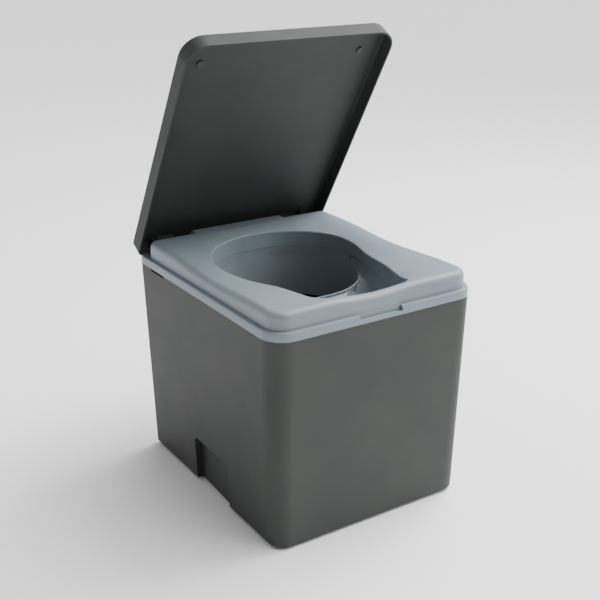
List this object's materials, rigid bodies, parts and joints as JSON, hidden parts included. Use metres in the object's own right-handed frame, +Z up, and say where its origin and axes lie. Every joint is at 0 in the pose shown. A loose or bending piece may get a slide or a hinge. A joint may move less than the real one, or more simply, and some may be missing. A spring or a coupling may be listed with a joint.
{
  "type": "portable separating toilet",
  "caption": "Boxy portable separating toilet: saddle-shaped seat, urine-diverting insert, removable containers inside and a hinged lid.",
  "frame": {"origin": "centre of the base rim on the underside, on the floor", "axes": "+Z up, -Y towards the front where a person's legs go, +X to the right seen from the front"},
  "size_m": [0.316, 0.3951, 0.6272],
  "materials": {
    "housing": "fine-grained dark grey moulding",
    "foot": "black rubber",
    "pin": "plain steel",
    "container": "smooth dark moulding",
    "liner_ring": "smooth grey moulding",
    "canister": "milky blow-moulded plastic",
    "neck_ring": "soft black rubber",
    "seat": "satin pale grey moulding",
    "insert": "satin grey moulding",
    "hinge_block": "dark moulding",
    "lid": "fine-grained dark grey moulding",
    "buffer": "soft black rubber"
  },
  "bodies": {
    "base": {"housing": "housing", "foot_front_left": "foot", "foot_front_right": "foot", "foot_rear_left": "foot", "foot_rear_right": "foot", "seat_pin_left": "pin", "seat_pin_right": "pin", "solids_container": "container", "liner_ring": "liner_ring", "urine_canister": "canister", "canister_neck": "canister", "canister_handle": "canister", "canister_neck_ring": "neck_ring"},
    "seat_unit": {"seat": "seat", "separator_insert": "insert", "insert_screws": "pin", "hinge_block_left": "hinge_block", "hinge_block_right": "hinge_block", "hinge_block_screws": "pin", "lid_pin_left": "pin", "lid_pin_right": "pin"},
    "lid_unit": {"lid": "lid", "lid_buffer_left": "buffer", "lid_buffer_right": "buffer"}
  },
  "joints": [
    {"name": "seat_hinge", "type": "hinge", "parent": "base", "child": "seat_unit", "pos_m": [0, 0.1898, 0.287], "axis": [-1, 0, 0], "range_deg": [0, 95]},
    {"name": "lid_hinge", "type": "hinge", "parent": "seat_unit", "child": "lid_unit", "pos_m": [0, 0.1787, 0.2992], "axis": [-1, 0, 0], "range_deg": [-59, 36]}
  ]
}
